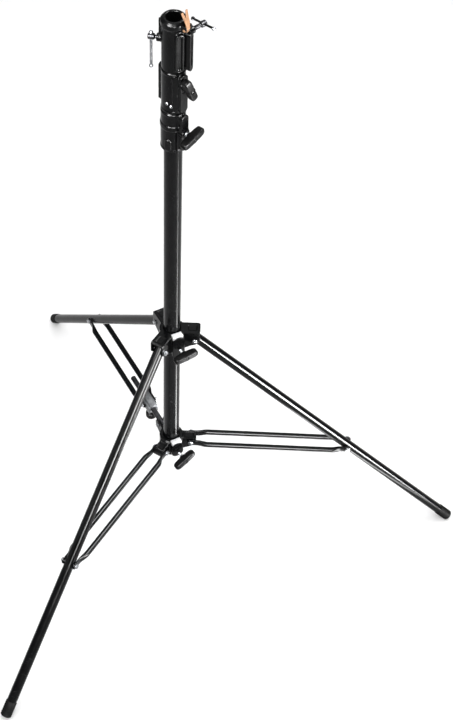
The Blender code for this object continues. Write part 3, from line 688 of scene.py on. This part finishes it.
def clamp_casting(radius, low, high, tube_radius, riser_radius, lip, knob_azimuth, knob_height,
                  more=(), slits=()):
    """A clamp collar with a chamfered rim, a bead at its foot and a boss for its knob."""
    body = turned([(0, low), (radius - 0.0010, low), (radius + 0.0004, low + 0.0014),
                   (radius + 0.0004, low + 0.0050), (radius - 0.0004, low + 0.0064),
                   (radius - 0.0004, high - 0.0070), (radius, high - 0.0060),
                   (radius, high - 0.0030), (radius - 0.0030, high), (0, high)])
    middle = (low + high) / 2
    half = (high - low) / 2 - 0.004
    boss = rib(knob_azimuth, radius + 0.0060, 0.018, middle - half, middle + half)
    seat = radial(rod(0.0105, radius - 0.004, radius + 0.0078, 0.0008), knob_azimuth, knob_height)
    body = joined(body, boss, seat, *more)
    bore = turned([(0, low - 0.01), (tube_radius + FIT, low - 0.01), (tube_radius + FIT, high - lip),
                   (riser_radius + FIT, high - lip), (riser_radius + FIT, high - 0.0012),
                   (riser_radius + 0.002, high + 0.01), (0, high + 0.01)])
    hole = radial(rod(BOLT_RADIUS + FIT, 0.012, radius + 0.02), knob_azimuth, knob_height)
    return cast(cut(body, bore, hole, *slits))


def make_column(m):
    low, high = heights("column_tube")
    piece("column_tube_fine", pipe(COLUMN_RADIUS, COLUMN_RADIUS - COLUMN_WALL, low, high),
          about_column(), m["tube"], "column_tube", ["column_tube"])

    collar_low, collar_high = heights("column_collar")
    azimuth, height = knob_place("column_knob_turn")
    lug = rib(math.radians(-112), 0.0252, 0.012, collar_low + 0.004, collar_low + 0.030)
    strap = turned([(0.018, collar_high - 0.040), (0.0246, collar_high - 0.040),
                    (0.0246, collar_high - 0.030), (0.018, collar_high - 0.030)])
    slit = turned_about(box((0.0185, -0.0009, collar_low - 0.01), (0.05, 0.0009, collar_low + 0.05)),
                        "Z", azimuth - math.radians(34))
    mesh = clamp_casting(radius_of("riser_1_tube") + 0.0086, collar_low, collar_high, COLUMN_RADIUS,
                         RISER_1_RADIUS, COLLAR_LIP, azimuth, height, [lug, strap], [slit])
    piece("column_collar_fine", mesh, about_column(), m["casting"], "column_collar",
          ["column_collar"])


def knob_place(joint):
    """(azimuth, height) of a knob about the column."""
    x, y, z = JOINTS[joint]["pos_m"]
    return math.atan2(y, x - COLUMN_X), z


def make_risers(m):
    for number, radius in ((1, RISER_1_RADIUS), (2, RISER_2_RADIUS)):
        node = f"riser_{number}_tube"
        low, high = heights(node)
        piece(node + "_fine", pipe(radius, radius - RISER_WALL, low, high), about_column(), m["tube"],
              node, [node])
    low, high = heights("riser_1_collar")
    azimuth, height = knob_place("riser_knob_turn")
    back = rib(math.radians(146), 0.0298, 0.012, low + 0.006, high - 0.004)
    front = rib(math.radians(-80), 0.0250, 0.010, low + 0.012, high - 0.006)
    mesh = clamp_casting(RISER_COLLAR_RADIUS, low, high, RISER_1_RADIUS, RISER_2_RADIUS, COLLAR_LIP,
                         azimuth, height, [back, front])
    piece("riser_1_collar_fine", mesh, about_column(), m["casting"], "riser_1_collar",
          ["riser_1_collar"])
    for word, turn, lift in (("left", -120, 0.023), ("right", -98, 0.018)):
        socket_screw(f"riser_collar_screw_{word}", math.radians(turn), low + lift, 0.0220,
                     "riser_1_collar", m["steel"])


# Head


def make_head(m):
    side_azimuth, screw_height = knob_place("side_screw_turn")
    head_azimuth = knob_place("head_screw_turn")[0]
    catch_azimuth, catch_height = knob_place("catch_turn")
    catch_reach = from_column("catch_turn")[0]
    body = turned([(0, HEAD_LOW), (0.0206, HEAD_LOW), (0.0220, HEAD_LOW + 0.0014),
                   (0.0220, HEAD_HIGH - 0.0175), (0.0238, HEAD_HIGH - 0.0140),
                   (0.0238, HEAD_HIGH - 0.0052), (0.0196, HEAD_HIGH - 0.0006),
                   (0.0184, HEAD_HIGH), (0, HEAD_HIGH)])
    rib_low = HEAD_LOW + 0.004
    rib_high = HEAD_HIGH - 0.022
    ribs = [rib(turn, reach, width, rib_low, rib_high) for turn, reach, width in HEAD_RIBS]
    body = joined(body, *ribs,
                  rib(side_azimuth, 0.0264, 0.006, screw_height, HEAD_HIGH - 0.007))
    for azimuth, reach in ((head_azimuth, HEAD_BOSS_REACH), (side_azimuth, SIDE_BOSS_REACH)):
        body = joined(body, radial(rod(0.0076, 0, reach, 0.001), azimuth, screw_height),
                      radial(rod(0.0088, 0, reach - 0.008, 0.001), azimuth, screw_height))
    for side in (-1, 1):
        cheek = box((0.018, side * CHEEK_OFFSET - 0.0015, catch_height - 0.006),
                    (catch_reach + 0.0035, side * CHEEK_OFFSET + 0.0015, catch_height + 0.006))
        body = joined(body, turned_about(cheek, "Z", catch_azimuth))
    wide, narrow = HEAD_RIBS[0][0], HEAD_RIBS[1][0]
    pocket = rib(wide, 0.05, 0.0084, rib_low + 0.0038, rib_high - 0.0038, 0.0246)
    groove = turned_about(box((0.0334, -0.0020, rib_low + 0.007), (0.05, 0.0020, rib_high - 0.007)),
                          "Z", narrow)
    socket = turned([(0, SOCKET_FLOOR), (SOCKET_RADIUS, SOCKET_FLOOR),
                     (SOCKET_RADIUS, HEAD_HIGH - 0.0016), (SOCKET_RADIUS + 0.0022, HEAD_HIGH + 0.0006),
                     (SOCKET_RADIUS + 0.0022, HEAD_HIGH + 0.01), (0, HEAD_HIGH + 0.01)])
    lower = rod(RISER_2_RADIUS + FIT, HEAD_LOW - 0.01, SOCKET_FLOOR - SOCKET_WEB, segments=SMOOTH)
    holes = [radial(rod(SCREW_RADIUS + FIT, 0.005, 0.05), azimuth, screw_height)
             for azimuth in (head_azimuth, side_azimuth)]
    pin_hole = moved(along_y(rod(CATCH_PIN_HOLE, -0.02, 0.02)), x=catch_reach, z=catch_height)
    holes.append(turned_about(pin_hole, "Z", catch_azimuth))
    mesh = cast(cut(body, pocket, groove, socket, lower, *holes), 0.0007)
    piece("head_casting_fine", mesh, about_column(), m["casting"], "head_casting",
          ["head_casting"])

    make_screw("head", head_azimuth, screw_height, m)
    make_screw("side", side_azimuth, screw_height, m)
    make_catch(catch_azimuth, catch_reach, catch_height, m)


def make_screw(word, azimuth, height, m):
    """A clamp screw with its thread, neck, drilled head and the bar that turns it."""
    reach = from_column(word + "_screw_turn")[0] + BAR_INSET
    tip = SOCKET_RADIUS + 0.0006
    head_start = reach - 2.4 * BAR_INSET
    thread = threaded(SCREW_RADIUS, tip, head_start - 0.001, 0.00125)
    neck = turned([(0, head_start - 0.002), (SCREW_RADIUS - 0.0008, head_start - 0.002),
                   (SCREW_RADIUS - 0.0008, head_start), (SCREW_HEAD_RADIUS, head_start + 0.0025),
                   (SCREW_HEAD_RADIUS, reach - 0.0012), (SCREW_HEAD_RADIUS - 0.0012, reach),
                   (0, reach)])
    bar_axis = Vector(JOINTS[word + "_bar_slide"]["axis"])
    where = about_column(azimuth, height)
    mesh = along_x(joined(thread, neck))
    half, radius = BARS[word]
    hole = rod(radius + FIT, -0.02, 0.02)
    local = where.to_3x3().inverted() @ bar_axis
    hole.transform(local.to_track_quat("Z", "Y").to_matrix().to_4x4())
    mesh = cut(mesh, moved(hole, x=reach - BAR_INSET))
    piece(word + "_screw_fine", mesh, where, m["dark_steel"], word + "_screw", [word + "_screw"], 40)

    node = word + "_tommy_bar"
    low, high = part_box(node)
    middle = (low + high) / 2
    arc = []
    for step in range(9):
        turn = math.pi / 2 * (1 - 1.40 * step / 8)
        arc.append((max(BAR_BALL * math.cos(turn), 0), half - BAR_BALL * (1 - math.sin(turn))))
    arc[0] = (0, half)
    profile = [(r, -z) for r, z in arc] + [(radius, -(half - BAR_NECK - 0.0008))]
    profile += [(r, -z) for r, z in reversed(profile)]
    bar = turned(profile, FINE)
    facing = bar_axis.to_track_quat("Z", "Y").to_matrix().to_4x4()
    made = piece(node + "_fine", bar, Matrix.Translation(middle) @ facing,
                 m["dark_steel"] if word == "head" else m["steel"], node, [node])
    made.data.materials.append(m["steel"])
    for face in made.data.polygons:
        if (middle - face.center).dot(bar_axis) > half - BAR_NECK:
            face.material_index = 1


def make_catch(azimuth, reach, height, m):
    """The forked lever and its pin."""
    where = about_column(azimuth, height) @ Matrix.Translation((reach, 0, 0))
    centre_line = [(0.0002, -0.0072), (0.0012, 0.0020), (0.0006, 0.0100), (-0.0016, 0.0170),
                   (-0.0048, 0.0250), (-0.0070, 0.0324)]
    halves = [0.0030, 0.0046, 0.0052, 0.0060, 0.0075, 0.0084]
    spots = smooth_line([(x, half, z) for (x, z), half in zip(centre_line, halves)], 6)
    rings = []
    for index, (x, half, z) in enumerate(spots):
        ahead = spots[min(index + 1, len(spots) - 1)]
        behind = spots[max(index - 1, 0)]
        along = Vector((ahead[0] - behind[0], ahead[2] - behind[2])).normalized()
        out_x, out_z = along.y * 0.0011, -along.x * 0.0011
        rings.append([(x + out_x, -half, z + out_z), (x + out_x, half, z + out_z),
                      (x - out_x, half, z - out_z), (x - out_x, -half, z - out_z)])
    lever = lofted(rings)
    notch = turned_about(prism([(0.0175, 0), (0.040, -0.0060), (0.040, 0.0060)], -0.02, 0.02), "Y",
                         -math.pi / 2)
    hub = along_y(rod(0.0032, -0.0046, 0.0046, 0.0005))
    hole = along_y(rod(CATCH_PIN_HOLE, -0.02, 0.02))
    lever = cast(cut(joined(lever, hub), notch, hole), 0.0004, 3)
    piece("safety_catch_fine", lever, where, m["copper"], "safety_catch", ["safety_catch"], 50)
    pin = turned([(0, -0.0100), (0.0024, -0.0100), (0.0026, -0.0094), (0.0015, -0.0091),
                  (0.0015, 0.0091), (0.0026, 0.0094), (0.0024, 0.0100), (0, 0.0100)], FINE)
    piece("catch_pin_fine", along_y(pin), where, m["copper"], "catch_pin", ["catch_pin"])


def smooth_line(points, steps):
    """Points on a Catmull-Rom curve through the given ones."""
    line = []
    for index in range(len(points) - 1):
        around = [points[max(index - 1, 0)], points[index], points[index + 1],
                  points[min(index + 2, len(points) - 1)]]
        for step in range(steps):
            t = step / steps
            line.append(tuple(
                0.5 * (2 * b + (c - a) * t + (2 * a - 5 * b + 4 * c - d) * t * t
                       + (3 * b - a - 3 * c + d) * t ** 3)
                for a, b, c, d in zip(*around)))
    line.append(points[-1])
    return line


# Hubs


def hub_blank(low, high):
    return turned([(0, low), (HUB_RADIUS - 0.0013, low), (HUB_RADIUS, low + 0.0014),
                   (HUB_RADIUS, high - 0.0020), (HUB_RADIUS - 0.0020, high), (0, high)])


def hub_cuts(low, high, azimuth, height):
    """The column's bore, the nut's pocket and the clamp screw's hole."""
    bore = rod(COLUMN_RADIUS + FIT, low - 0.01, high + 0.01, segments=SMOOTH)
    pocket = box((POCKET_FACES[0], -POCKET_HALF_WIDTH, high - POCKET_DEPTH),
                 (POCKET_FACES[1], POCKET_HALF_WIDTH, high + 0.01))
    pocket = turned_about(pocket, "Z", azimuth + NUT_TURN)
    hole = radial(rod(BOLT_RADIUS + FIT, 0.012, 0.05), azimuth, height)
    return bore, pocket, hole


def make_upper_hub(m):
    low, high = heights("upper_hub")
    azimuth, height = knob_place("upper_hub_knob_turn")
    body = hub_blank(low, high)
    outer = EAR_HALF_GAP + EAR_THICKNESS
    ear_low = LEG_HEIGHT - 0.010
    for leg in LEG_AZIMUTHS:
        arm = prism([(0.015, ear_low - 0.018), (0.040, ear_low - 0.004), (0.050, ear_low),
                     (0.0590, ear_low + 0.010), (0.0590, high - 0.0035), (0.0555, high),
                     (0.015, high)], -outer, outer)
        arm = turned_about(arm, "X", math.pi / 2)
        cap = along_y(rod(0.0078, -outer - 0.0004, outer + 0.0004, 0.0003))
        arm = joined(arm, moved(cap, x=LEG_REACH, z=LEG_HEIGHT))
        body = joined(body, turned_about(arm, "Z", leg))
    body = joined(body, rib(azimuth + NUT_TURN, *HUB_RIB, low + 0.004, high - 0.0005))
    for leg in LEG_AZIMUTHS:
        slot = box((0.0290, -EAR_HALF_GAP, low - 0.02), (0.08, EAR_HALF_GAP, high - 0.0045))
        hole = moved(along_y(rod(BOLT_RADIUS + 0.0002, -0.04, 0.04)), x=LEG_REACH, z=LEG_HEIGHT)
        panel = box((0.034, -EAR_HALF_GAP + 0.004, high - 0.0012),
                    (0.052, EAR_HALF_GAP - 0.004, high + 0.01))
        for tool in (slot, hole, panel):
            body = cut(body, turned_about(tool, "Z", leg))
    mesh = cast(cut(body, *hub_cuts(low, high, azimuth, height)))
    piece("upper_hub_fine", mesh, about_column(), m["casting"], "upper_hub", ["upper_hub"])
    clamp_nut("upper_hub_nut", azimuth + NUT_TURN, high, "upper_hub", m)


def clamp_nut(name, azimuth, top, rides_with, m):
    """The square plated nut that the clamp screw runs in, dropped into its pocket. Its near-white finish is bright
    zinc plating lightened into a painted highlight on its top.
    """
    nut = box((NUT_FACES[0], -NUT_HALF_WIDTH, top - NUT_DEPTH),
              (NUT_FACES[1], NUT_HALF_WIDTH, top + NUT_STANDS_OUT))
    nut = eased(nut, 0.0006)
    piece(name, nut, about_column(azimuth), m["nut"], rides_with)


def make_lower_hub(m):
    low, high = heights("lower_hub")
    azimuth, height = knob_place("lower_hub_knob_turn")
    body = hub_blank(low, high)
    for leg in LEG_AZIMUTHS:
        arm = prism([(0.015, low + 0.002), (0.044, low + 0.016), (0.050, low + 0.020),
                     (0.0560, low + 0.026), (0.0560, high - 0.010), (0.050, high - 0.003),
                     (0.015, high - 0.003)], -EAR_HALF_GAP, EAR_HALF_GAP)
        body = joined(body, turned_about(turned_about(arm, "X", math.pi / 2), "Z", leg))
    body = joined(body, rib(azimuth + NUT_TURN, *HUB_RIB, low + 0.002, high - 0.0005))
    for leg in LEG_AZIMUTHS:
        hole = moved(along_y(rod(BOLT_RADIUS + 0.0002, -0.04, 0.04)), x=BRACE_REACH, z=BRACE_HEIGHT)
        panel = box((0.030, -EAR_HALF_GAP + 0.0035, high - 0.0045), (0.050, EAR_HALF_GAP - 0.0035, high))
        for tool in (hole, panel):
            body = cut(body, turned_about(tool, "Z", leg))
    slot = box((0.0330, -ROD_RADIUS - FIT, low - 0.02), (0.08, ROD_RADIUS + FIT, high + 0.02))
    slot = turned_about(slot, "Z", LEG_AZIMUTHS[LEVELING_LEG - 1])
    mesh = cast(cut(body, slot, *hub_cuts(low, high, azimuth, height)))
    piece("lower_hub_fine", mesh, about_column(), m["casting"], "lower_hub", ["lower_hub"])
    clamp_nut("lower_hub_nut", azimuth + NUT_TURN, high, "lower_hub", m)


# Legs and braces


def make_leg(number, azimuth, m):
    where = leg_frame(azimuth)
    node = f"leg_{number}"
    end = LEG_END - 0.0053
    tube = turned([(LEG_RADIUS - 0.0010, -LEG_TOP), (LEG_RADIUS, -LEG_TOP + 0.0010),
                   (LEG_RADIUS, end - 0.0004), (LEG_RADIUS - 0.0004, end), (0.0098, end),
                   (0.0098, -LEG_TOP + 0.0010), (0.0090, -LEG_TOP)], SMOOTH)
    # Leg 3 takes a less glossy copy of the tube enamel, which darkens it: painted shade where the leg would catch
    # the bright floor's reflection
    finish = m["shaded"] if number == LEVELING_LEG else m["tube"]
    piece(node + "_fine", along_leg(tube), where, finish, node, [node])
    cap = rod(0.0094, -LEG_TOP - 0.0002, -LEG_TOP + 0.006, 0.0012)
    piece(node + "_cap", along_leg(cap), where, m["plastic"], node)

    outer = EAR_HALF_GAP + EAR_THICKNESS + FIT
    pin = node + "_pin"
    piece(pin + "_fine", hex_bolt(-outer, outer), where, m["steel"], pin, [pin])

    start = LEG_END - FOOT_LENGTH
    inner = LEG_RADIUS + 0.0001
    groove_radius = FOOT_RADIUS - 0.0006
    profile = [(0, LEG_END), (FOOT_RADIUS - 0.0018, LEG_END), (FOOT_RADIUS, LEG_END - 0.0016)]
    for groove in range(3):
        base = LEG_END - 0.009 - 0.0055 * groove
        profile += [(FOOT_RADIUS, base), (groove_radius, base - 0.0006),
                    (groove_radius, base - 0.0016), (FOOT_RADIUS, base - 0.0022)]
    profile += [(FOOT_RADIUS, start + 0.0014), (groove_radius, start), (inner, start),
                (inner, LEG_END - 0.005), (0, LEG_END - 0.005)]
    bm = bmesh.new()
    bm.from_mesh(along_leg(turned(profile)))
    bmesh.ops.bisect_plane(bm, geom=bm.verts[:] + bm.edges[:] + bm.faces[:],
                           plane_co=(0, 0, -LEG_HEIGHT), plane_no=(0, 0, -1), clear_outer=True)
    bmesh.ops.holes_fill(bm, edges=[edge for edge in bm.edges if edge.is_boundary])
    foot = f"foot_{number}"
    piece(foot + "_fine", mesh_of(bm), where, m["rubber"], foot, [foot])


def brace_ring(x, from_end, side, count=32):
    """Cross-section of a brace at x: a round tube pressed flat where it is bolted."""
    blend = min(max((from_end - BRACE_FLAT_LENGTH) / BRACE_TAPER, 0), 1)
    blend = blend * blend * (3 - 2 * blend)
    half_height = BRACE_FLAT_HEIGHT + (BRACE_RADIUS - BRACE_FLAT_HEIGHT) * blend
    if from_end < BRACE_FLAT_HEIGHT:
        half_height = math.sqrt(BRACE_FLAT_HEIGHT ** 2 - (BRACE_FLAT_HEIGHT - from_end) ** 2)
    flat_half = BRACE_FLAT_THICKNESS / 2
    half_width = flat_half + (BRACE_RADIUS - flat_half) * blend
    if from_end < 0.0008:
        half_width *= 0.86
    flat_centre = BRACE_FLAT_FACE + flat_half
    centre = flat_centre + (BRACE_OFFSET - flat_centre) * blend
    power = 2 / (5 - 3 * blend)
    ring = []
    for step in range(count):
        turn = math.tau * step / count
        across = math.copysign(abs(math.cos(turn)) ** power, math.cos(turn))
        upward = math.copysign(abs(math.sin(turn)) ** power, math.sin(turn))
        ring.append((x, side * (centre + half_width * across), half_height * upward))
    return ring


def make_braces(number, azimuth, m):
    where = brace_frame(azimuth)
    start = CLAMP_CENTRE if number == LEVELING_LEG else 0.0
    ends = [0.0003, 0.0008, 0.0018, 0.0032, 0.0052, BRACE_FLAT_HEIGHT, BRACE_FLAT_LENGTH]
    ends += [BRACE_FLAT_LENGTH + BRACE_TAPER * step / 10 for step in range(1, 11)]
    low = start - BRACE_FLAT_HEIGHT
    high = BRACE_LENGTH + BRACE_FLAT_HEIGHT
    joint = Matrix.Translation((BRACE_LENGTH, 0, 0))
    for side, word in ((1, "left"), (-1, "right")):
        rings = [brace_ring(low + step, step, side) for step in ends]
        rings += [brace_ring(high - step, step, side) for step in reversed(ends)]
        node = f"brace_{number}_{word}"
        piece(node + "_fine", lofted(rings), where, m["tube"], node, [node], 50)
        bolt = f"brace_{number}_bolt_{word}"
        head = hex_bolt(BRACE_FLAT_FACE + 0.001, BRACE_OUTSIDE, nut=False)
        turn = Matrix.Rotation(0 if side > 0 else math.pi, 4, "Z")
        piece(bolt + "_fine", head, where @ joint @ turn, m["steel"], bolt, [bolt])
    if number == LEVELING_LEG:
        make_leveling(where, m)
    else:
        pin = f"brace_{number}_pin"
        piece(pin + "_fine", hex_bolt(-BRACE_OUTSIDE, BRACE_OUTSIDE), where, m["steel"], pin, [pin])


def make_leveling(where, m):
    rod_mesh = along_x(turned([(0, -0.0065), (0.0040, -0.0065), (0.0055, -0.0055),
                               (ROD_RADIUS, -0.0040), (ROD_RADIUS, ROD_LENGTH - 0.0012),
                               (ROD_RADIUS - 0.0012, ROD_LENGTH), (0, ROD_LENGTH)]))
    piece("leveling_rod_fine", rod_mesh, where, m["dark_steel"], "leveling_rod", ["leveling_rod"])
    half = EAR_HALF_GAP + FIT
    piece("rod_pin_fine", hex_bolt(-half, half, head_radius=0.005), where, m["steel"], "rod_pin",
          ["rod_pin"])

    width = BRACE_FLAT_FACE - FIT
    low = CLAMP_CENTRE - CLAMP_LENGTH / 2
    high = CLAMP_CENTRE + CLAMP_LENGTH / 2
    body = box((low, -width, -0.0105), (high, width, 0.0105))
    bore = moved(along_x(rod(ROD_RADIUS + FIT, -0.05, 0.05)), x=CLAMP_CENTRE)
    lighten = [box((low - 0.01, side * 0.0098 - 0.0032, 0.0072),
                   (high + 0.01, side * 0.0098 + 0.0032, 0.02)) for side in (-1, 1)]
    screw_hole = moved(rod(BOLT_RADIUS + FIT, -0.03, 0), x=GRIP_AT)
    body = eased(cut(body, bore, *lighten, screw_hole), 0.0009, 3)
    piece("leveling_clamp_fine", body, where, m["dull"], "leveling_clamp", ["leveling_clamp"], 30)
    for side, word in ((1, "left"), (-1, "right")):
        turn = Matrix.Rotation(0 if side > 0 else math.pi, 4, "Z")
        node = f"clamp_bolt_{word}"
        bolt = hex_bolt(0.0108, BRACE_OUTSIDE, nut=False)
        piece(node + "_fine", bolt, where @ Matrix.Translation((CLAMP_CENTRE, 0, 0)) @ turn,
              m["steel"], node, [node])

    knob_at = where @ Matrix.Translation((GRIP_AT, 0, 0))
    low, high, radius = -0.0355, -0.0140, 0.0125
    grip = turned([(0, low), (radius - 0.0030, low), (radius - 0.0008, low + 0.0010),
                   (radius, low + 0.0030), (radius, high - 0.0080), (radius - 0.0010, high - 0.0066),
                   (0.0086, high - 0.0055), (0.0085, high - 0.0006), (0.0079, high), (0, high)])
    flutes = [moved(rod(0.0016, low - 0.01, high - 0.0076, 0.0002, 12),
                    x=(radius + 0.0008) * math.cos(math.tau * k / 18),
                    y=(radius + 0.0008) * math.sin(math.tau * k / 18)) for k in range(18)]
    dish = turned([(0, low - 0.001), (0.0072, low - 0.001), (0.0060, low + 0.0010), (0, low + 0.0010)],
                  FINE)
    grip = cut(grip, dish, *flutes)
    piece("leveling_knob_fine", grip, knob_at, m["plastic"], "leveling_knob", ["leveling_knob"])
    stud = threaded(BOLT_RADIUS, high - 0.010, -ROD_RADIUS - FIT, 0.001)
    piece("leveling_knob_stud_fine", stud, knob_at, m["steel"], "leveling_knob_stud",
          ["leveling_knob_stud"], 60)


# Assembly

make_camera()
make_studio()
materials = {
    "tube": enamel("black_enamel", 620, 0.000008, (0.13, 0.21)),
    # the tube enamel again with weaker specular: painted shade for leg 3 only
    "shaded": enamel("shaded_enamel", 620, 0.000008, (0.13, 0.21), 0.02),
    "casting": enamel("black_casting_enamel", 340, 0.00003, (0.16, 0.26)),
    "plastic": moulded("black_moulded", (0.0028, 0.0028, 0.0030), (0.0055, 0.0055, 0.0058), (0.24, 0.38),
                       0.045),
    "rubber": moulded("moulded_rubber", (0.0030, 0.0030, 0.0031), (0.0060, 0.0060, 0.0058), (0.45, 0.65),
                      0.02),
    "steel": plated("zinc_plate", (0.20, 0.205, 0.212), (0.11, 0.115, 0.12), (0.24, 0.38)),
    "dark_steel": plated("blackened_steel", (0.012, 0.012, 0.013), (0.025, 0.025, 0.026), (0.25, 0.38)),
    "bright": plated("bright_plate", (0.50, 0.50, 0.51), (0.30, 0.31, 0.32), (0.18, 0.30)),
    "dull": plated("dull_plate", (0.11, 0.113, 0.117), (0.06, 0.062, 0.065), (0.30, 0.42), 0.000008),
    # near white with little metal: the nut's bright zinc plating, partly real and partly a painted highlight
    "nut": plated("nut_plate_painted_highlight", (0.93, 0.93, 0.94), (0.86, 0.87, 0.88), (0.30, 0.42), 0.000004, 0.1,
                  0.3),
    "copper": plated("copper_plating", (0.56, 0.31, 0.17), (0.40, 0.22, 0.13), (0.42, 0.58), 0.00002,
                     0.06, 0.04),
}
FINISH_OF_SLOT = {"black_paint": "casting", "black_plastic": "plastic", "black_rubber": "rubber",
                  "zinc_steel": "steel", "chrome": "bright", "copper_plate": "copper"}
for entry in frame["record"]["subparts"]:
    node_mesh = frame["nodes"][entry["node"]].data
    node_mesh.materials.clear()
    node_mesh.materials.append(materials[FINISH_OF_SLOT[entry["material_slot"]]])

make_column(materials)
make_risers(materials)
make_head(materials)
make_upper_hub(materials)
make_lower_hub(materials)
for index, leg_azimuth in enumerate(LEG_AZIMUTHS):
    make_leg(index + 1, leg_azimuth, materials)
    make_braces(index + 1, leg_azimuth, materials)
for knob_name, knob_roll in (("column_knob", 13), ("riser_knob", -68), ("upper_hub_knob", 0),
                             ("lower_hub_knob", 30)):
    knob(knob_name, knob_name + "_turn", math.radians(knob_roll), materials["plastic"],
         materials["steel"])
